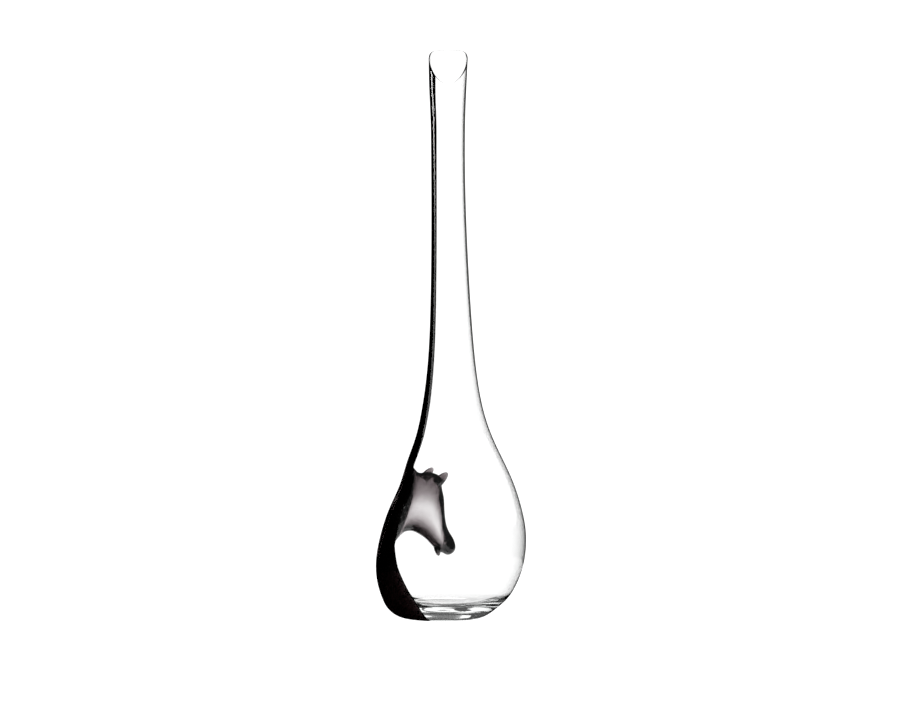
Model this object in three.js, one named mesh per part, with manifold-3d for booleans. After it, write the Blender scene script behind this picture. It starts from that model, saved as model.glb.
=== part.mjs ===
// Wine decanter: a mouth-blown clear body with a long neck and a cut mouth, a black glass
// stripe down its left side and under its base, and a hollow black glass horse's head drawn
// into the bulb from the left wall. Millimetres, +Z up, the front faces -Y.
import * as THREE from 'three';
import { mergeVertices } from 'three/addons/utils/BufferGeometryUtils.js';
import Module from 'manifold-3d';

const wasm = await Module();
wasm.setup();

// ---- Driving dimensions ----------------------------------------------------------------

const HEIGHT = 600;
const MOUTH_DROP = 36; // the front of the mouth is cut this far below its back
const CUT_START = 520; // above this height the rings tilt towards the cut mouth
const GAP = 0.3; // clearance between neighbouring pieces
const SEGMENTS = 36; // facets round the body

// The blown body from the mouth down to the foot: [height, centre x, radius].
// The bulb isn't round about one axis, so its centre drifts from side to side.
const BODY = [
  [600, -3.0, 20.6],
  [566, -3.4, 19.6],
  [530, -3.3, 18.3],
  [480, -3.1, 17.8],
  [420, -2.3, 18.4],
  [350, -0.9, 20.4],
  [290, 0.3, 23.5],
  [250, 0.9, 27.5],
  [218, 1.7, 33.1],
  [190, 3.3, 41.2],
  [165, 4.8, 51.5],
  [141, 6.3, 60.6],
  [116, 4.7, 70.0],
  [94, 3.0, 75.9],
  [72, 0.5, 78.5],
  [52, -2.1, 77.4],
  [34, -4.4, 72.6],
  [21, -6.5, 66.2],
  [11.5, -9.2, 58.6],
  [4.6, -10.1, 50.2],
  [1, -10, 42],
  [0, -10, 33],
];
const FOOT_CENTRE_X = -10;
const FOOT_INNER_RADIUS = 26;
const PUNT_DEPTH = 1.8; // the hollow inside the foot ring
const JOIN_HEIGHT = 186; // the body is two nodes, neck and bulb, parted at this height

// Wall thickness down the body: [height, thickness]
const WALL = [
  [600, 1.9],
  [520, 2.4],
  [300, 2.4],
  [186, 1.9],
  [72, 1.6],
  [52, 1.8],
  [34, 2.4],
  [21, 4.0],
];
// The inside floor, a shallow dish over the thick base: [height, radius]
const FLOOR = [
  [17.5, 52],
  [15.8, 42],
  [15.2, 22],
];
const FLOOR_CENTRE_X = -7.5;
const FLOOR_HEIGHT = 15;

// The black stripe: [height, angle of its middle, half its angle], in degrees from the left
// (-X) towards the front (-Y). It runs on under the foot, into the punt.
const STRIPE = [
  [600, 24, 26],
  [520, 22.3, 26.4],
  [370, 18.8, 26.2],
  [230, 13.6, 27.6],
  [188, 10.4, 26.4],
  [163, 9, 21],
  [120, 9, 26],
  [81, 9, 30],
  [59, 9, 37],
  [34, 9, 48],
  [21, 9, 55],
  [0, 9, 66],
];
const STRIPE_DEPTH = 0.8;
const GROOVE_OVERCUT = 1; // the groove is cut from this far outside the surface
const STRIPE_COLUMNS = 14;
const CREST_HEIGHT = 165; // the neck stripe stops here and the chest stripe goes on

// The horse's head in its own plane: stations from the wall to the muzzle, each
// [upper x, upper z, lower x, lower z, half width]
const HEAD = [
  [-58, 174, -86, 58, 14],
  [-41.6, 162, -67.5, 72.5, 15],
  [-34.7, 154.6, -59, 83, 15.5],
  [-26.2, 154.9, -50.6, 91.3, 16],
  [-17.8, 153.5, -42.1, 92.6, 16.5],
  [-11.4, 149.3, -34.7, 89.5, 16.5],
  [-10.1, 139.7, -27.3, 84.3, 15.5],
  [-7.9, 128.1, -22, 78.8, 14],
  [-7.3, 117.5, -17.2, 74, 12.5],
  [-6.2, 104.8, -13.5, 70.3, 11],
  [-3, 93.1, -9.8, 69.5, 9.8],
  [2.3, 84.1, -6.1, 67.7, 9.2],
  [4.4, 77.2, -2.4, 67.2, 7.5],
  [4.4, 73.5, 1.2, 69, 4],
];
const HEAD_WALL = 3;
const HEAD_SOLID_STATIONS = 3; // the muzzle is solid over this many last stations
const MUZZLE_BULGE = 0.8;
const HOLLOW_BULGE = 3;
const HEAD_TURN_DEGREES = 9; // the whole head is turned towards the front
const HEAD_AXIS_X = 4;
const HEAD_SEGMENTS = 16;

// Ears and lip: base and tip as [x, y, z], then half sizes at the base along and across
const NEAR_EAR = { base: [-17, -8, 143], tip: [-5.3, -9, 154.6], along: 5.4, across: 3.2 };
const FAR_EAR = { base: [-28, 8, 148], tip: [-18, 9, 158.6], along: 4.8, across: 3 };
const LOWER_LIP = { base: [-15.5, 0, 76], tip: [-13.2, 0, 66.2], along: 3.4, across: 4.6 };
const PULL_SEGMENTS = 12;
const PULL_STEPS = 6;

const CRYSTAL = { color: 0xf3f7f7, roughness: 0.03, metalness: 0 };
const BLACK_GLASS = { color: 0x0b0709, roughness: 0.04, metalness: 0 };
const SMOKE_GLASS = { color: 0x241a1e, roughness: 0.05, metalness: 0 };

// ---- Curves ----------------------------------------------------------------------------

/** A value read between the heights of a table. */
function between(table, height, column) {
  const above = table.findIndex((row) => row[0] <= height);
  if (above === -1) return table.at(-1)[column];
  if (above === 0) return table[0][column];
  const upper = table[above - 1];
  const lower = table[above];
  const share = (upper[0] - height) / (upper[0] - lower[0]);
  return THREE.MathUtils.lerp(upper[column], lower[column], share);
}

/** A smooth curve of [height, centre x, radius] through the listed sections. */
function profile(sections, stepsPerSection) {
  const points = sections.map(([height, x, radius]) => new THREE.Vector3(x, radius, height));
  return new THREE.CatmullRomCurve3(points, false, 'centripetal')
    .getPoints((sections.length - 1) * stepsPerSection)
    .map((point) => ({ x: point.x, radius: point.y, height: point.z }));
}

/** Height of the cut mouth at an angle measured from the left towards the front. */
function mouthHeight(angle) {
  return HEIGHT - MOUTH_DROP * ((1 + Math.sin(angle)) / 2) ** 2;
}

/** A point of a body section, with the top of the neck sheared down to the cut mouth. */
function onBody({ x, radius, height }, angle) {
  const tilt = Math.max(0, (height - CUT_START) / (HEIGHT - CUT_START));
  const drop = tilt * (HEIGHT - mouthHeight(angle));
  return new THREE.Vector3(
    x - radius * Math.cos(angle),
    -radius * Math.sin(angle),
    height - drop,
  );
}

/** Sections listed downwards, moved out (or in, below zero) square to their profile. */
function offset(sections, distance) {
  return sections.map(({ x, radius, height }, place) => {
    const before = sections[Math.max(place - 1, 0)];
    const after = sections[Math.min(place + 1, sections.length - 1)];
    const run = after.radius - before.radius;
    const fall = before.height - after.height;
    const scale = distance / Math.hypot(run, fall);
    return { x, radius: radius + fall * scale, height: height + run * scale };
  });
}

// ---- Closed meshes ---------------------------------------------------------------------

function geometryFrom(points, index) {
  const geometry = new THREE.BufferGeometry().setFromPoints(points);
  geometry.setIndex(index);
  return geometry;
}

/** Joins rings of points into one closed skin, with a pole at each end. */
function skin(rings, firstPole, lastPole) {
  const count = rings[0].length;
  const points = [...rings.flat(), firstPole, lastPole];
  const first = points.length - 2;
  const last = points.length - 1;
  const index = [];
  for (let side = 0; side < count; side += 1) {
    const next = (side + 1) % count;
    const end = (rings.length - 1) * count;
    index.push(first, side, next);
    index.push(end + side, last, end + next);
    for (let ring = 0; ring < rings.length - 1; ring += 1) {
      const row = ring * count;
      const below = row + count;
      index.push(row + side, below + side, below + next);
      index.push(row + side, below + next, row + next);
    }
  }
  return geometryFrom(points, index);
}

/** The closed plate between an outer and an inner grid of points. */
function plate(outer, inner) {
  const rows = outer.length;
  const columns = outer[0].length;
  const index = [];
  const at = (side, row, column) => (side * rows + row) * columns + column;
  const quad = (a, b, c, d) => index.push(a, b, c, a, c, d);
  for (let row = 0; row < rows - 1; row += 1) {
    for (let column = 0; column < columns - 1; column += 1) {
      const [right, down] = [column + 1, row + 1];
      quad(at(0, row, column), at(0, down, column), at(0, down, right), at(0, row, right));
      quad(at(1, row, column), at(1, row, right), at(1, down, right), at(1, down, column));
    }
    const end = columns - 1;
    quad(at(0, row, 0), at(1, row, 0), at(1, row + 1, 0), at(0, row + 1, 0));
    quad(at(0, row, end), at(0, row + 1, end), at(1, row + 1, end), at(1, row, end));
  }
  for (let column = 0; column < columns - 1; column += 1) {
    const end = rows - 1;
    quad(at(0, 0, column), at(0, 0, column + 1), at(1, 0, column + 1), at(1, 0, column));
    quad(at(0, end, column), at(1, end, column), at(1, end, column + 1), at(0, end, column + 1));
  }
  return geometryFrom([...outer.flat(), ...inner.flat()], index);
}

function solid(geometry) {
  const merged = mergeVertices(geometry, 1e-4);
  return new wasm.Manifold(
    new wasm.Mesh({
      numProp: 3,
      vertProperties: new Float32Array(merged.attributes.position.array),
      triVerts: new Uint32Array(merged.index.array),
    }),
  );
}

function meshOf(name, body, material) {
  const { vertProperties, triVerts } = body.getMesh();
  const geometry = new THREE.BufferGeometry();
  geometry.setAttribute('position', new THREE.Float32BufferAttribute(vertProperties, 3));
  geometry.setIndex(Array.from(triVerts));
  geometry.computeVertexNormals();
  const mesh = new THREE.Mesh(geometry, new THREE.MeshStandardMaterial(material));
  mesh.name = name;
  return mesh;
}

// ---- The clear body --------------------------------------------------------------------

const outside = profile(BODY, 2);

/** The rings under the foot: a flat ring to stand on and the shallow punt inside it. */
const underside = [1, 0.66, 0.33].map((share) => ({
  x: FOOT_CENTRE_X,
  radius: share * FOOT_INNER_RADIUS,
  height: PUNT_DEPTH * (1 - share ** 2),
}));
const puntTop = new THREE.Vector3(FOOT_CENTRE_X, 0, PUNT_DEPTH);

function insideSections() {
  const walled = BODY.filter(([height]) => height >= WALL.at(-1)[0]).map(
    ([height, x, radius]) => [height, x, radius - between(WALL, height, 1)],
  );
  const floor = FLOOR.map(([height, radius]) => [height, FLOOR_CENTRE_X, radius]);
  return profile([...walled, ...floor], 2);
}

function ring(section) {
  return Array.from({ length: SEGMENTS }, (_, side) =>
    onBody(section, (side / SEGMENTS) * 2 * Math.PI),
  );
}

function blownBody() {
  const rings = [...insideSections().reverse(), ...outside, ...underside].map(ring);
  const floorMiddle = new THREE.Vector3(FLOOR_CENTRE_X, 0, FLOOR_HEIGHT);
  return solid(skin(rings, floorMiddle, puntTop));
}

/** Everything inside the outer surface, as one solid block. */
function envelope() {
  const mouthMiddle = new THREE.Vector3(BODY[0][1], 0, HEIGHT - MOUTH_DROP / 4);
  return solid(skin([...outside, ...underside].map(ring), mouthMiddle, puntTop));
}

/** A slab across the whole object between two heights. */
function slab(low, high) {
  const box = new THREE.BoxGeometry(HEIGHT, HEIGHT, high - low);
  box.translate(0, 0, (low + high) / 2);
  box.deleteAttribute('normal');
  box.deleteAttribute('uv');
  return solid(box);
}

// ---- The black stripe ------------------------------------------------------------------

/** The stripe from the mouth to the punt, or with an allowance the groove that it lies in. */
function stripe(proud, allowance) {
  const start = { ...outside[0], height: HEIGHT + allowance };
  const end = underside.at(-1);
  const pastEnd = { ...end, radius: end.radius - allowance };
  const sections = [start, ...outside.slice(1), ...underside.slice(0, -1), pastEnd];
  const angles = sections.map(({ radius, height }) => {
    const middle = THREE.MathUtils.degToRad(between(STRIPE, height, 1));
    const half = THREE.MathUtils.degToRad(between(STRIPE, height, 2)) + allowance / radius;
    return Array.from(
      { length: STRIPE_COLUMNS + 1 },
      (_, column) => middle + half * ((2 * column) / STRIPE_COLUMNS - 1),
    );
  });
  const grid = (distance) =>
    offset(sections, distance).map((section, row) =>
      angles[row].map((angle) => onBody(section, angle)),
    );
  return solid(plate(grid(proud), grid(-STRIPE_DEPTH - allowance)));
}

// ---- The horse's head ------------------------------------------------------------------

const acrossHead = new THREE.Vector3(0, 1, 0);

/** An oval ring of points round a middle. */
function oval(middle, up, upSize, acrossSize, count) {
  return Array.from({ length: count }, (_, side) => {
    const angle = (side / count) * 2 * Math.PI;
    return middle
      .clone()
      .addScaledVector(up, upSize * Math.cos(angle))
      .addScaledVector(acrossHead, acrossSize * Math.sin(angle));
  });
}

/** A closed form through the first stations of the head, grown (or shrunk) all round. */
function headForm(stations, grown, bulge) {
  const curve = (column) =>
    new THREE.CatmullRomCurve3(
      stations.map((row) => new THREE.Vector3(row[column], row[4], row[column + 1])),
      false,
      'centripetal',
    ).getPoints((stations.length - 1) * 2);
  const lower = curve(2);
  const rows = curve(0).map((point, place) => {
    const top = new THREE.Vector3(point.x, 0, point.z);
    const bottom = new THREE.Vector3(lower[place].x, 0, lower[place].z);
    const up = top.clone().sub(bottom);
    const middle = top.clone().add(bottom).multiplyScalar(0.5);
    const size = up.length() / 2 + grown;
    up.normalize();
    return { middle, up, size, across: point.y + grown };
  });
  const rings = rows.map((row) => oval(row.middle, row.up, row.size, row.across, HEAD_SEGMENTS));
  const nose = rows.at(-1);
  const ahead = acrossHead.clone().cross(nose.up);
  const tip = nose.middle.clone().addScaledVector(ahead, bulge + grown);
  return turned(solid(skin(rings, rows[0].middle, tip)));
}

/** A pulled point of glass, such as an ear, on its base ring. */
function pulled({ base, tip, along, across }) {
  const from = new THREE.Vector3(...base);
  const to = new THREE.Vector3(...tip);
  const up = to.clone().sub(from).normalize().cross(acrossHead).normalize();
  const rings = Array.from({ length: PULL_STEPS }, (_, step) => {
    const share = step / PULL_STEPS;
    const size = Math.sqrt(1 - share ** 2);
    return oval(from.clone().lerp(to, share), up, along * size, across * size, PULL_SEGMENTS);
  });
  return turned(solid(skin(rings, from, to)));
}

/** Turns a piece of the head about the bulb, from the left side towards the front. */
function turned(piece) {
  return piece
    .translate([-HEAD_AXIS_X, 0, 0])
    .rotate([0, 0, HEAD_TURN_DEGREES])
    .translate([HEAD_AXIS_X, 0, 0]);
}

// ---- Assembly --------------------------------------------------------------------------

const headBlock = headForm(HEAD, 0, MUZZLE_BULGE);
const roomForHead = headForm(HEAD, GAP, MUZZLE_BULGE);
const hollow = headForm(HEAD.slice(0, -HEAD_SOLID_STATIONS), -HEAD_WALL, HOLLOW_BULGE);
const groove = stripe(GROOVE_OVERCUT, GAP);
const stripeClearOfHead = stripe(0, 0).subtract(roomForHead);
const body = blownBody().subtract(groove).subtract(roomForHead);

const decanter = new THREE.Group();
decanter.add(
  meshOf('crystal_neck', body.intersect(slab(JOIN_HEIGHT, 2 * HEIGHT)), CRYSTAL),
  meshOf('crystal_bulb', body.intersect(slab(-HEIGHT, JOIN_HEIGHT - GAP)), CRYSTAL),
  meshOf('neck_stripe', stripeClearOfHead.intersect(slab(CREST_HEIGHT, 2 * HEIGHT)), BLACK_GLASS),
  meshOf('chest_stripe', stripeClearOfHead.intersect(slab(-HEIGHT, CREST_HEIGHT - GAP)), BLACK_GLASS),
  meshOf('horse_head', headBlock.subtract(hollow).intersect(envelope()), SMOKE_GLASS),
  meshOf('near_ear', pulled(NEAR_EAR).subtract(roomForHead), SMOKE_GLASS),
  meshOf('far_ear', pulled(FAR_EAR).subtract(roomForHead), SMOKE_GLASS),
  meshOf('lower_lip', pulled(LOWER_LIP).subtract(roomForHead), SMOKE_GLASS),
);

export default decanter;
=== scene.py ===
"""Wine decanter in clear and black glass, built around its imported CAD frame.

Metres in Blender; the shape tables below are in millimetres and turned into metres by MM.
Angles on the body run from the left (-X) towards the front (-Y).
"""

import math

import bmesh
import bpy
import numpy as np
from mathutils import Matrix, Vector


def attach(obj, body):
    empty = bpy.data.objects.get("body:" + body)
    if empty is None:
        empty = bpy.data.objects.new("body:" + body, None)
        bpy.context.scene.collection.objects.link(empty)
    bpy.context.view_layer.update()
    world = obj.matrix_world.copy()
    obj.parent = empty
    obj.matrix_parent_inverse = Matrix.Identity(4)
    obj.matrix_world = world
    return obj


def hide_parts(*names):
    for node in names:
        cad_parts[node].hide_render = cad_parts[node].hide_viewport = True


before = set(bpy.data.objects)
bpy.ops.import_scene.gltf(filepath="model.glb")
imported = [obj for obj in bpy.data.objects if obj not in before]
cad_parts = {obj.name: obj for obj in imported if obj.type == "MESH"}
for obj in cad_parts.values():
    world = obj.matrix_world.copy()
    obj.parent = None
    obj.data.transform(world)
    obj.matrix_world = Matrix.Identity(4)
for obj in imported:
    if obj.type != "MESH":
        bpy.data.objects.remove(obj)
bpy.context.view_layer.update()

MM = 0.001

# ---- The studio -------------------------------------------------------------------------

WHITE = 1.3  # brightness of the walls and the floor
FLOOR_REACH = 9.0
NEAR_FLOOR = 0.4  # within this distance the floor is white to all light
FLOOR_CORNERS = 64
# How bright the walls and the far floor are to light that was reflected inside the glass,
# which draws its edges
DIMMED = 0.1
# The tall lamp on the left: [height, middle, half width, brightness], where the middle and the
# half width are degrees round from the front
LAMP = [
    [0.200, 104, 5.5, 0.4],
    [0.285, 104, 6.5, 0.8],
    [0.300, 104, 7, 1.5],
    [0.390, 103, 7, 2.0],
    [0.440, 104, 7, 3.4],
    [0.490, 107, 7.5, 5.5],
    [0.530, 112, 8.5, 7.5],
    [0.600, 117, 9, 7.5],
]
LAMP_DISTANCE = 0.5
# A shade that keeps the lamp's reflection off the bulb: height, left end, right end, half width
LAMP_SHADE = (0.19, -0.49, -0.06, 0.3)

# The camera looks at CAMERA_AIM from the front, a little above the horizon
CAMERA_LENS = 180
CAMERA_SENSOR = 36
CAMERA_DISTANCE = 4.75
CAMERA_ELEVATION = math.radians(3)
CAMERA_AIM = (-0.0011, 0, 0.269)

# ---- The blown body; its outside is the CAD's --------------------------------------------

HEIGHT = 600.0
MOUTH_DROP = 36.0  # the front of the mouth is cut this far below its back
CUT_START = 520.0  # above this height the rings tilt towards the cut mouth

# [height, centre x, radius] from the mouth down to the foot
BODY = [
    [600, -3.0, 20.6],
    [566, -3.4, 19.6],
    [530, -3.3, 18.3],
    [480, -3.1, 17.8],
    [420, -2.3, 18.4],
    [350, -0.9, 20.4],
    [290, 0.3, 23.5],
    [250, 0.9, 27.5],
    [218, 1.7, 33.1],
    [190, 3.3, 41.2],
    [165, 4.8, 51.5],
    [141, 6.3, 60.6],
    [116, 4.7, 70.0],
    [94, 3.0, 75.9],
    [72, 0.5, 78.5],
    [52, -2.1, 77.4],
    [34, -4.4, 72.6],
    [21, -6.5, 66.2],
    [11.5, -9.2, 58.6],
    [4.6, -10.1, 50.2],
    [1, -10, 42],
    [0, -10, 33],
]
WALLED_ROWS = 18  # the wall follows the outside down to this row, then thickens to the base
FOOT_CENTRE_X = -10.0
FOOT_INNER_RADIUS = 26.0
PUNT_DEPTH = 1.8

# Wall thickness down the body, less than the CAD's so that the edges look as fine as the real
# ones: [height, thickness]
WALL = [[600, 2.0], [330, 1.9], [250, 1.3], [186, 0.9], [52, 0.8], [34, 1.3], [21, 3.2]]
# The dished floor inside, over the thick base: [height, radius]
FLOOR = [[17.5, 52], [15.8, 42], [15.2, 22], [15.0, 9], [15.0, 1]]
FLOOR_CENTRE_X = -7.5

BODY_STEPS = 10  # rings between two listed sections
BODY_COLUMNS = 192
LIP_STEPS = 8
# The lip is thick at the back and thin round the rest: thickness and rolled height
BACK_LIP, BACK_ROLL = 1.8, 2.4
THIN_LIP, THIN_ROLL = 1.0, 0.6
# The thick part of the lip is whole within the first angle from the back and gone at the second
LIP_BACK, LIP_SIDE = math.radians(18), math.radians(42)
LIP_BLEND = 80.0  # height over which the wall changes to the lip's thickness

# The black stripe: [height, angle of its middle, half its angle], in degrees. Beside the head it
# is a degree or two wider than the CAD's.
STRIPE = [
    [600, 24, 26],
    [520, 22.3, 26.4],
    [370, 18.8, 26.2],
    [230, 13.6, 27.6],
    [188, 10.4, 26.4],
    [163, 10, 22.5],
    [150, 10.5, 27],
    [135, 10.5, 28.5],
    [120, 9.5, 27],
    [81, 9, 30],
    [59, 9, 37],
    [34, 9, 48],
    [21, 9, 55],
    [0, 9, 66],
]
STRIPE_PROUD = 0.1  # how far the stripe stands out of the body
STRIPE_DEPTH = 0.8  # how deep it is sunk into it
STRIPE_COLUMNS = 72
CREST_HEIGHT = 165.0  # the neck stripe ends here and the chest stripe goes on

# ---- The horse's head; its outside is the CAD's ------------------------------------------

# Stations from the wall to the muzzle: [upper x, upper z, lower x, lower z, half width]
HEAD = [
    [-58, 174, -86, 58, 14],
    [-41.6, 162, -67.5, 72.5, 15],
    [-34.7, 154.6, -59, 83, 15.5],
    [-26.2, 154.9, -50.6, 91.3, 16],
    [-17.8, 153.5, -42.1, 92.6, 16.5],
    [-11.4, 149.3, -34.7, 89.5, 16.5],
    [-10.1, 139.7, -27.3, 84.3, 15.5],
    [-7.9, 128.1, -22, 78.8, 14],
    [-7.3, 117.5, -17.2, 74, 12.5],
    [-6.2, 104.8, -13.5, 70.3, 11],
    [-3, 93.1, -9.8, 69.5, 9.8],
    [2.3, 84.1, -6.1, 67.7, 9.2],
    [4.4, 77.2, -2.4, 67.2, 7.5],
    [4.4, 73.5, 1.2, 69, 4],
]
HEAD_TURN = math.radians(9)
HEAD_AXIS_X = 4.0
HEAD_STEPS = 14
HEAD_COLUMNS = 96
HOLLOW_STATIONS = 11  # the muzzle beyond these is solid
# Glass between the hollow and the crest and forehead: [station, thickness]
UPPER_WALL = [[0, 3.8], [4, 3.8], [5.5, 5.5], [7, 7], [10, 7]]
LOWER_WALL = 4.0  # glass between the hollow and the jaw
MOUTH_WALL = 3.0  # the hole in the body is half this much smaller all round than the head
# Wall of the cheeks along the head: [station, thickness]
CHEEK_WALL = [
    [0, 12],
    [1.2, 10],
    [1.55, 4.4],
    [1.85, 2.4],
    [2.15, 1.4],
    [2.5, 0.8],
    [3, 0.5],
    [3.5, 0.36],
    [8, 0.36],
    [9, 0.9],
    [10, 1.8],
]
POLL_WALL = 1.4  # the cheeks are this much thicker above the eyes
POLL_LOW, POLL_HIGH = 116.0, 146.0  # heights between which they thicken
JOWL = 0.18  # how much fuller the sections are below than above

NEAR_EAR = {"base": [-17, -8, 143], "tip": [-5.3, -9, 154.6], "along": 5.4, "across": 3.2}
FAR_EAR = {"base": [-28, 8, 148], "tip": [-18, 9, 158.6], "along": 4.8, "across": 3.0}
LOWER_LIP = {"base": [-15.5, 0, 76], "tip": [-13.2, 0, 66.2], "along": 3.4, "across": 4.6}
PULL_STEPS = 24
PULL_COLUMNS = 40


# ---- Curves -----------------------------------------------------------------------------


def smooth_through(rows, steps):
    """A natural cubic spline through rows of numbers, with even steps between two rows."""
    rows = np.array(rows, float)
    gaps = np.sqrt(np.linalg.norm(np.diff(rows, axis=0), axis=1))
    count = len(rows)
    matrix = np.eye(count)
    target = np.zeros_like(rows)
    slopes = np.diff(rows, axis=0) / gaps[:, None]
    for place in range(1, count - 1):
        before, after = gaps[place - 1], gaps[place]
        matrix[place, place - 1 : place + 2] = before, 2 * (before + after), after
        target[place] = 6 * (slopes[place] - slopes[place - 1])
    bends = np.linalg.solve(matrix, target)
    curve = []
    for place in range(count - 1):
        for share in np.arange(steps) / steps:
            rest = 1 - share
            bent = (rest**3 - rest) * bends[place] + (share**3 - share) * bends[place + 1]
            straight = rest * rows[place] + share * rows[place + 1]
            curve.append(straight + bent * gaps[place] ** 2 / 6)
    curve.append(rows[-1])
    return np.array(curve)


def table_value(table, heights, column):
    """Values read between the heights of a table that is listed downwards."""
    listed = np.array(table, float)[::-1]
    return np.interp(heights, listed[:, 0], listed[:, column])


def profile(sections, steps):
    """Rows of (centre x, radius, height) through listed [height, centre x, radius]."""
    return smooth_through([[x, radius, height] for height, x, radius in sections], steps)


def offset(sections, distance):
    """Sections listed downwards, moved square to their profile; distance may vary by row."""
    run = np.gradient(sections[:, 1])
    fall = -np.gradient(sections[:, 2])
    scale = np.asarray(distance) / np.hypot(run, fall)
    moved = sections.copy()
    moved[:, 1] += fall * scale
    moved[:, 2] += run * scale
    return moved


def on_body(x, radius, height, angle):
    """Points of the body, with the top of the neck sheared down to the cut mouth."""
    tilt = np.maximum(0, (height - CUT_START) / (HEIGHT - CUT_START))
    drop = tilt * MOUTH_DROP * ((1 + np.sin(angle)) / 2) ** 2
    return np.stack(
        np.broadcast_arrays(x - radius * np.cos(angle), -radius * np.sin(angle), height - drop),
        axis=-1,
    )


def body_grid(sections, angles):
    """Points for every section (row) and angle (column)."""
    x, radius, height = (sections[:, column][:, None] for column in range(3))
    return on_body(x, radius, height, angles)


# ---- Closed meshes ----------------------------------------------------------------------


def piece_from(name, points, faces):
    """An object in metres from points in millimetres, with doubles merged."""
    mesh = bpy.data.meshes.new(name)
    mesh.from_pydata((points * MM).tolist(), [], faces)
    work = bmesh.new()
    work.from_mesh(mesh)
    bmesh.ops.remove_doubles(work, verts=work.verts, dist=1e-7)
    loose = [vertex for vertex in work.verts if not vertex.link_faces]
    bmesh.ops.delete(work, geom=loose, context="VERTS")
    work.to_mesh(mesh)
    work.free()
    mesh.polygons.foreach_set("use_smooth", [True] * len(mesh.polygons))
    piece = bpy.data.objects.new(name, mesh)
    bpy.context.scene.collection.objects.link(piece)
    return piece


def shell(name, outer, inner, removed=None, wrap=False, capped=False):
    """The closed body between two grids of points of one shape.

    removed marks cells that are left out, and every open edge is closed between the grids.
    wrap joins the last column to the first. capped closes the last row of each grid with a
    fan instead.
    """
    rows, columns = outer.shape[:2]
    cells = (rows - 1, columns if wrap else columns - 1)
    gone = np.zeros(cells, bool) if removed is None else removed
    points = [outer.reshape(-1, 3), inner.reshape(-1, 3)]
    inside = rows * columns

    def at(row, column):
        return row * columns + column % columns

    def is_open(row, column):
        if wrap:
            column %= columns
        if row < 0 or row >= cells[0] or column < 0 or column >= cells[1]:
            return True
        return gone[row, column]

    faces = []
    for row in range(cells[0]):
        for column in range(cells[1]):
            if gone[row, column]:
                continue
            corners = [at(row, column), at(row + 1, column), at(row + 1, column + 1), at(row, column + 1)]
            faces.append(corners)
            faces.append([inside + corner for corner in reversed(corners)])
            neighbours = [(row, column - 1), (row + 1, column), (row, column + 1), (row - 1, column)]
            for side, (next_row, next_column) in enumerate(neighbours):
                if not is_open(next_row, next_column) or (capped and next_row == cells[0]):
                    continue
                start, end = corners[side], corners[(side + 1) % 4]
                faces.append([end, start, inside + start, inside + end])
    if capped:
        last = rows - 1
        poles = [outer[-1].mean(axis=0), inner[-1].mean(axis=0)]
        points.append(np.array(poles))
        pole = 2 * inside
        for column in range(columns):
            here, beside = at(last, column), at(last, column + 1)
            faces.append([here, pole, beside])
            faces.append([inside + beside, pole + 1, inside + here])
    return piece_from(name, np.concatenate(points), faces)


def loft(name, rings, first_pole, last_pole):
    """A closed skin over rings of points, with a pole at each end."""
    rows, columns = rings.shape[:2]
    faces = []
    for column in range(columns):
        beside = (column + 1) % columns
        faces.append([rows * columns, column, beside])
        for row in range(rows - 1):
            here = row * columns
            below = here + columns
            faces.append([here + column, below + column, below + beside, here + beside])
        last = (rows - 1) * columns
        faces.append([last + column, rows * columns + 1, last + beside])
    points = np.concatenate([rings.reshape(-1, 3), [first_pole], [last_pole]])
    return piece_from(name, points, faces)


def inside_polygon(polygon, x, y):
    """Whether each point (x, y) lies inside a closed polygon."""
    result = np.zeros(np.shape(x), bool)
    for (x1, y1), (x2, y2) in zip(polygon, np.roll(polygon, -1, axis=0)):
        crosses = (y1 > y) != (y2 > y)
        where = x1 + (y - y1) * (x2 - x1) / np.where(y2 == y1, 1e-9, y2 - y1)
        result ^= crosses & (x < where)
    return result


# ---- The outside of the body ------------------------------------------------------------

outside = profile(BODY, BODY_STEPS)


def underside_rows():
    """Rows under the foot: a flat ring to stand on, then the shallow punt inside it."""
    flat = np.linspace(BODY[-1][2], FOOT_INNER_RADIUS, 6)[1:]
    punt = np.linspace(FOOT_INNER_RADIUS, 1, 24)[1:]
    radii = np.concatenate([flat, punt])
    share = np.minimum(radii / FOOT_INNER_RADIUS, 1)
    heights = PUNT_DEPTH * (1 - share**2)
    return np.stack([np.full_like(radii, FOOT_CENTRE_X), radii, heights], axis=-1)


underside = underside_rows()


def outside_radius(height):
    return np.interp(height, outside[::-1, 2], outside[::-1, 1])


def outside_centre(height):
    return np.interp(height, outside[::-1, 2], outside[::-1, 0])


# ---- The head's forms -------------------------------------------------------------------


def turned(points):
    """Turns points about the bulb's axis, from the left side towards the front."""
    cos, sin = math.cos(HEAD_TURN), math.sin(HEAD_TURN)
    x, y = points[..., 0] - HEAD_AXIS_X, points[..., 1]
    return np.stack([HEAD_AXIS_X + x * cos - y * sin, x * sin + y * cos, points[..., 2]], -1)


def smooth_step(values, low, high):
    share = np.clip((values - low) / (high - low), 0, 1)
    return share * share * (3 - 2 * share)


def head_rows(stations):
    """The head's middle line, its upward direction, half height and half width by row."""
    rows = smooth_through(stations, HEAD_STEPS)
    upper, lower, half_width = rows[:, 0:2], rows[:, 2:4], rows[:, 4:5]
    up = upper - lower
    length = np.linalg.norm(up, axis=1)[:, None]
    return (upper + lower) / 2, up / length, length / 2, half_width


def head_ovals(middle, up, half_height, half_width):
    """An oval for each row; the half height and half width may vary round the oval too."""
    angle = np.linspace(0, 2 * math.pi, HEAD_COLUMNS, endpoint=False)
    along = np.maximum(half_height, 0.05) * np.cos(angle)
    across = np.maximum(half_width, 0.05) * np.sin(angle) * (1 - JOWL * np.cos(angle))
    x = middle[:, 0:1] + up[:, 0:1] * along
    z = middle[:, 1:2] + up[:, 1:2] * along
    return turned(np.stack([x, across, z], axis=-1))


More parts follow.
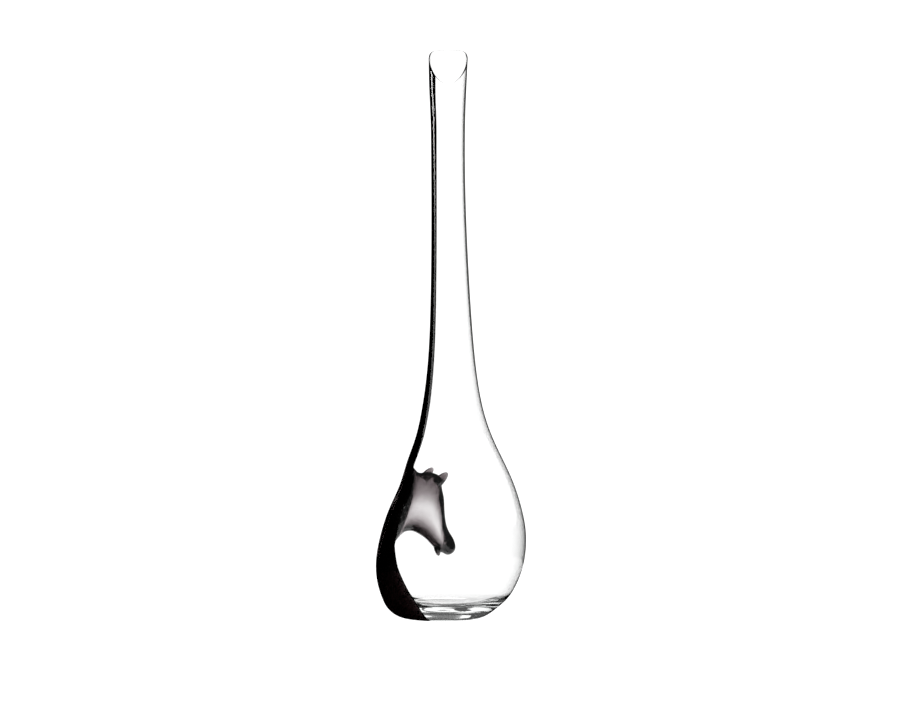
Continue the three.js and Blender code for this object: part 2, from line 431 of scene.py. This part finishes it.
def head_form(inset):
    """The outer form of the head, drawn in all round by inset."""
    middle, up, half_height, half_width = head_rows(HEAD)
    return head_ovals(middle, up, half_height - inset, half_width - inset)


def hollow_form():
    """The hollow in the head, which leaves thin cheeks and thick edges."""
    middle, up, half_height, half_width = head_rows(HEAD[:HOLLOW_STATIONS])
    upward = np.cos(np.linspace(0, 2 * math.pi, HEAD_COLUMNS, endpoint=False))
    station = np.arange(len(middle))[:, None] / HEAD_STEPS
    upper_wall = np.interp(station, *np.transpose(UPPER_WALL))
    edge = LOWER_WALL + (upper_wall - LOWER_WALL) * (1 + upward) / 2
    cheek = np.interp(station, *np.transpose(CHEEK_WALL))
    height = middle[:, 1:2] + up[:, 1:2] * half_height * upward
    poll = POLL_WALL * smooth_step(height, POLL_LOW, POLL_HIGH)
    return head_ovals(middle, up, half_height - edge, half_width - cheek - poll)


def start_at_wall(grid):
    """The same grid with each column starting where it comes in through the outside wall."""
    x, y, z = (grid[..., axis] for axis in range(3))
    depth = np.hypot(x - outside_centre(z), y) - outside_radius(z)
    rows, columns = depth.shape
    moved = np.empty_like(grid)
    for column in range(columns):
        inside = np.nonzero(depth[:, column] < 0)[0][0]
        d0, d1 = depth[inside - 1, column], depth[inside, column]
        start = inside - 1 + d0 / (d0 - d1)
        at = np.linspace(start, rows - 1, rows)
        for axis in range(3):
            moved[:, column, axis] = np.interp(at, np.arange(rows), grid[:, column, axis])
    return moved


def wall_outline(grid):
    """The closed outline, as (angle, height), where a head form meets the wall."""
    start = start_at_wall(grid)[0]
    angle = np.arctan2(-start[:, 1], outside_centre(start[:, 2]) - start[:, 0])
    return np.stack([angle, start[:, 2]], axis=-1)


mouth_outline = wall_outline(head_form(MOUTH_WALL / 2))


# ---- Pieces -----------------------------------------------------------------------------


def cell_centres(grid_values):
    return (grid_values[:-1] + grid_values[1:]) / 2


def back_share(angles):
    """1 at the back of the mouth, 0 at its sides and front."""
    return smooth_step(-np.sin(angles), math.cos(LIP_SIDE), math.cos(LIP_BACK))


def lip_rows(angles):
    """Points over the rolled lip, on its outer side and on its inner side."""
    back = back_share(angles)
    thickness = THIN_LIP + (BACK_LIP - THIN_LIP) * back
    roll = THIN_ROLL + (BACK_ROLL - THIN_ROLL) * back
    x, radius = outside[0, 0], outside[0, 1]
    outer, inner = [], []
    for turn in np.linspace(math.pi / 2, 0, LIP_STEPS, endpoint=False):
        height = HEIGHT - roll * (1 - math.sin(turn))
        reach = thickness / 2 * math.cos(turn)
        outer.append(on_body(x, radius - thickness / 2 + reach, height, angles))
        inner.append(on_body(x, radius - thickness / 2 - reach, height, angles))
    return np.array(outer), np.array(inner), thickness


def make_body():
    """The clear body: outside and inside walls, rolled lip, thick base, hole for the head."""
    angles = np.linspace(-math.pi, math.pi, BODY_COLUMNS, endpoint=False)
    wall = table_value(WALL, np.array(BODY)[:, 0], 1)
    walled = [
        [height, x, radius - wall[row]]
        for row, (height, x, radius) in enumerate(BODY[:WALLED_ROWS])
    ]
    floor = [[height, FLOOR_CENTRE_X, radius] for height, radius in FLOOR]
    inside = profile(walled + floor, BODY_STEPS)[1:]
    outer = np.concatenate([outside[1:], underside])
    rows = max(len(outer), len(inside))
    outer, inside = stretched(outer, rows), stretched(inside, rows)
    lip_out, lip_in, thickness = lip_rows(angles)
    nearness = smooth_step(inside[:, 2], HEIGHT - LIP_BLEND, HEIGHT)[:, None]
    x, radius, height = (inside[:, column][:, None] for column in range(3))
    radius = radius + nearness * (WALL[0][1] - thickness)
    outer_grid = np.concatenate([lip_out, body_grid(outer, angles)])
    inner_grid = np.concatenate([lip_in, on_body(x, radius, height, angles)])
    middle_angle = angles + math.pi / BODY_COLUMNS
    heights = np.concatenate([np.full(LIP_STEPS, HEIGHT), outer[:, 2]])
    cell_angle, cell_height = np.meshgrid(middle_angle, cell_centres(heights))
    hole = inside_polygon(mouth_outline, cell_angle, cell_height)
    return shell(
        "crystal_body", outer_grid, inner_grid, removed=hole, wrap=True, capped=True
    )


def stretched(sections, rows):
    """The same sections, with the missing rows added evenly over the last stretch."""
    missing = rows - len(sections)
    if missing == 0:
        return sections
    kept = (WALLED_ROWS - 1) * BODY_STEPS
    tail = sections[kept:]
    at = np.linspace(0, len(tail) - 1, len(tail) + missing)
    steps = np.arange(len(tail))
    longer = np.stack([np.interp(at, steps, tail[:, axis]) for axis in range(3)], axis=-1)
    return np.concatenate([sections[:kept], longer])


def make_stripe(name, rows):
    """One stretch of the black stripe: a plate that thins to nothing at its edges."""
    middle = np.radians(table_value(STRIPE, rows[:, 2], 1))[:, None]
    half = np.radians(table_value(STRIPE, rows[:, 2], 2))[:, None]
    side = np.linspace(-1, 1, STRIPE_COLUMNS)
    angles = middle + half * side
    body = np.sqrt(1 - side**4)
    levels = []
    for depth in (STRIPE_PROUD, -STRIPE_DEPTH):
        moved = offset(rows, depth)
        surface = body_grid(rows, angles)
        sunk = body_grid(moved, angles)
        levels.append(surface + (sunk - surface) * body[:, None])
    cell_angle = (angles[:-1, :-1] + angles[1:, 1:]) / 2
    cell_height = np.broadcast_to(cell_centres(rows[:, 2])[:, None], cell_angle.shape)
    hole = inside_polygon(mouth_outline, cell_angle, cell_height)
    return shell(name, levels[0], levels[1], removed=hole)


def make_head():
    """The hollow head: outer form and hollow form, closed round its mouth where they meet the wall."""
    outer = start_at_wall(head_form(0))
    inner = start_at_wall(hollow_form())
    rows = len(outer)
    at = np.linspace(0, len(inner) - 1, rows)
    steps = np.arange(len(inner))
    inner = np.stack(
        [
            np.stack([np.interp(at, steps, inner[:, column, axis]) for axis in range(3)], -1)
            for column in range(HEAD_COLUMNS)
        ],
        axis=1,
    )
    return shell("horse_head_glass", outer, inner, wrap=True, capped=True)


def make_pulled(name, base, tip, along, across):
    """A pulled point of glass, such as an ear."""
    start, end = np.array(base, float), np.array(tip, float)
    ahead = (end - start) / np.linalg.norm(end - start)
    up = np.cross(ahead, [0, 1, 0])
    up /= np.linalg.norm(up)
    share = np.sin(np.linspace(0, math.pi / 2, PULL_STEPS, endpoint=False))
    size = np.sqrt(1 - share**2)[:, None, None]
    angle = np.linspace(0, 2 * math.pi, PULL_COLUMNS, endpoint=False)
    ring = along * np.cos(angle)[:, None] * up + across * np.sin(angle)[:, None] * [0, 1, 0]
    rings = start + (end - start) * share[:, None, None] + ring * size
    return loft(name, turned(rings), turned(start), turned(end))


# ---- Materials --------------------------------------------------------------------------


def glass(name, absorption, density, patch_size, roughest):
    """Fire-polished glass that takes light away evenly through its thickness.

    Its polish varies softly in patches, from a mirror to roughest, with a finer grain in them.
    """
    material = bpy.data.materials.new(name)
    material.use_nodes = True
    nodes, links = material.node_tree.nodes, material.node_tree.links
    surface = nodes["Principled BSDF"]
    surface.inputs["Base Color"].default_value = (1, 1, 1, 1)
    surface.inputs["Transmission Weight"].default_value = 1
    surface.inputs["IOR"].default_value = 1.5
    place = nodes.new("ShaderNodeTexCoord")
    patches = nodes.new("ShaderNodeTexNoise")
    patches.inputs["Scale"].default_value = 1 / patch_size
    patches.inputs["Detail"].default_value = 5
    patches.inputs["Roughness"].default_value = 0.6
    links.new(place.outputs["Object"], patches.inputs["Vector"])
    polish = nodes.new("ShaderNodeMapRange")
    polish.inputs["From Min"].default_value = 0.4
    polish.inputs["From Max"].default_value = 0.7
    polish.inputs["To Min"].default_value = 0
    polish.inputs["To Max"].default_value = roughest
    links.new(patches.outputs["Fac"], polish.inputs["Value"])
    links.new(polish.outputs["Result"], surface.inputs["Roughness"])
    volume = nodes.new("ShaderNodeVolumeAbsorption")
    volume.inputs["Color"].default_value = (*absorption, 1)
    volume.inputs["Density"].default_value = density
    links.new(volume.outputs["Volume"], nodes["Material Output"].inputs["Volume"])
    return material


def finish_piece(piece, material, slot, *nodes):
    piece.data.materials.append(material)
    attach(piece, "root")
    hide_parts(*nodes)


# ---- Stage ------------------------------------------------------------------------------


def dim_when_reflected(nodes, links, strength):
    """White light, but dim to light that was reflected inside the glass."""
    path = nodes.new("ShaderNodeLightPath")
    level = nodes.new("ShaderNodeMapRange")
    level.inputs["To Min"].default_value = WHITE
    level.inputs["To Max"].default_value = DIMMED
    links.new(path.outputs["Glossy Depth"], level.inputs["Value"])
    links.new(level.outputs["Result"], strength)


def stage_sheet(name, corners, faces, brightness, dims=False):
    """A flat sheet of the studio that gives out an even light."""
    mesh = bpy.data.meshes.new(name)
    mesh.from_pydata(corners, [], faces)
    sheet = bpy.data.objects.new(name, mesh)
    bpy.context.scene.collection.objects.link(sheet)
    material = bpy.data.materials.new(name)
    material.use_nodes = True
    nodes, links = material.node_tree.nodes, material.node_tree.links
    glow = nodes.new("ShaderNodeEmission")
    glow.inputs["Strength"].default_value = brightness
    if dims:
        dim_when_reflected(nodes, links, glow.inputs["Strength"])
    links.new(glow.outputs[0], nodes["Material Output"].inputs["Surface"])
    mesh.materials.append(material)
    sheet.visible_glossy = False
    return sheet


def floor_circle(radius):
    turns = np.linspace(0, 2 * math.pi, FLOOR_CORNERS, endpoint=False)
    return [(radius * math.cos(turn), radius * math.sin(turn), 0) for turn in turns]


def build_floor():
    near, far = floor_circle(NEAR_FLOOR), floor_circle(FLOOR_REACH)
    count = FLOOR_CORNERS
    stage_sheet("near_floor", near, [list(range(count))], WHITE)
    ring = [[i, i + count, (i + 1) % count + count, (i + 1) % count] for i in range(count)]
    stage_sheet("far_floor", near + far, ring, WHITE, dims=True)


def build_walls():
    """Plain walls all round, which don't show in the glass's outer reflections."""
    world = bpy.data.worlds.new("studio")
    bpy.context.scene.world = world
    world.use_nodes = True
    world.cycles_visibility.glossy = False
    nodes, links = world.node_tree.nodes, world.node_tree.links
    nodes["Background"].inputs["Color"].default_value = (1, 1, 1, 1)
    dim_when_reflected(nodes, links, nodes["Background"].inputs["Strength"])


def build_camera():
    camera = bpy.data.objects.new("camera", bpy.data.cameras.new("camera"))
    bpy.context.scene.collection.objects.link(camera)
    camera.data.lens = CAMERA_LENS
    camera.data.sensor_width = CAMERA_SENSOR
    back = Vector((0, -math.cos(CAMERA_ELEVATION), math.sin(CAMERA_ELEVATION)))
    camera.location = Vector(CAMERA_AIM) + back * CAMERA_DISTANCE
    camera.rotation_euler = (math.pi / 2 - CAMERA_ELEVATION, 0, 0)
    camera.data.clip_end = 60
    bpy.context.scene.camera = camera


def build_lamp():
    """A tall narrow lamp on the left, brighter at the top, that only shows in reflections."""
    corners, levels = [], []
    for height, middle, half, brightness in LAMP:
        for angle in (math.radians(middle - half), math.radians(middle + half)):
            x, y = -LAMP_DISTANCE * math.sin(angle), -LAMP_DISTANCE * math.cos(angle)
            corners.append((x, y, height))
            levels.append(brightness)
    mesh = bpy.data.meshes.new("lamp")
    faces = [[2 * row, 2 * row + 1, 2 * row + 3, 2 * row + 2] for row in range(len(LAMP) - 1)]
    mesh.from_pydata(corners, [], faces)
    mesh.attributes.new("brightness", "FLOAT", "POINT").data.foreach_set("value", levels)
    material = bpy.data.materials.new("lamp")
    material.use_nodes = True
    nodes, links = material.node_tree.nodes, material.node_tree.links
    level = nodes.new("ShaderNodeAttribute")
    level.attribute_name = "brightness"
    glow = nodes.new("ShaderNodeEmission")
    links.new(level.outputs["Fac"], glow.inputs["Strength"])
    links.new(glow.outputs[0], nodes["Material Output"].inputs["Surface"])
    mesh.materials.append(material)
    lamp = bpy.data.objects.new("lamp", mesh)
    bpy.context.scene.collection.objects.link(lamp)
    lamp.visible_camera = False
    lamp.visible_transmission = False
    lamp.visible_diffuse = False
    lamp.visible_shadow = False
    height, left, right, half = LAMP_SHADE
    ends = [(left, -half), (right, -half), (right, half), (left, half)]
    corners = [(x, y, height) for x, y in ends]
    shade = stage_sheet("lamp_shade", corners, [[0, 1, 2, 3]], 0.0)
    shade.visible_glossy = True
    shade.visible_camera = False
    shade.visible_transmission = False
    shade.visible_diffuse = False
    shade.visible_shadow = False


# ---- Build ------------------------------------------------------------------------------

clear_crystal = glass("clear_crystal", (0.85, 0.95, 0.9), 1, 0.02, 0.03)
black_glass = glass("black_glass", (0.3, 0.1, 0.13), 22000, 0.03, 0.06)
smoke_glass = glass("smoke_glass", (0.08, 0.0, 0.02), 480, 0.012, 0.06)

finish_piece(make_body(), clear_crystal, "clear_crystal", "crystal_neck", "crystal_bulb")
crest_row = int(np.argmax(outside[:, 2] < CREST_HEIGHT))
finish_piece(
    make_stripe("neck_stripe_glass", outside[: crest_row + 1]),
    black_glass,
    "black_glass",
    "neck_stripe",
)
finish_piece(
    make_stripe("chest_stripe_glass", outside[crest_row:]),
    black_glass,
    "black_glass",
    "chest_stripe",
)
finish_piece(make_head(), smoke_glass, "smoke_glass", "horse_head")
finish_piece(make_pulled("near_ear_glass", **NEAR_EAR), smoke_glass, "smoke_glass", "near_ear")
finish_piece(make_pulled("far_ear_glass", **FAR_EAR), smoke_glass, "smoke_glass", "far_ear")
finish_piece(make_pulled("lower_lip_glass", **LOWER_LIP), smoke_glass, "smoke_glass", "lower_lip")

build_floor()
build_walls()
build_camera()
build_lamp()

bpy.context.scene.view_settings.view_transform = "Standard"
bpy.context.scene.cycles.max_bounces = 32
bpy.context.scene.cycles.transmission_bounces = 32
bpy.context.scene.cycles.glossy_bounces = 16
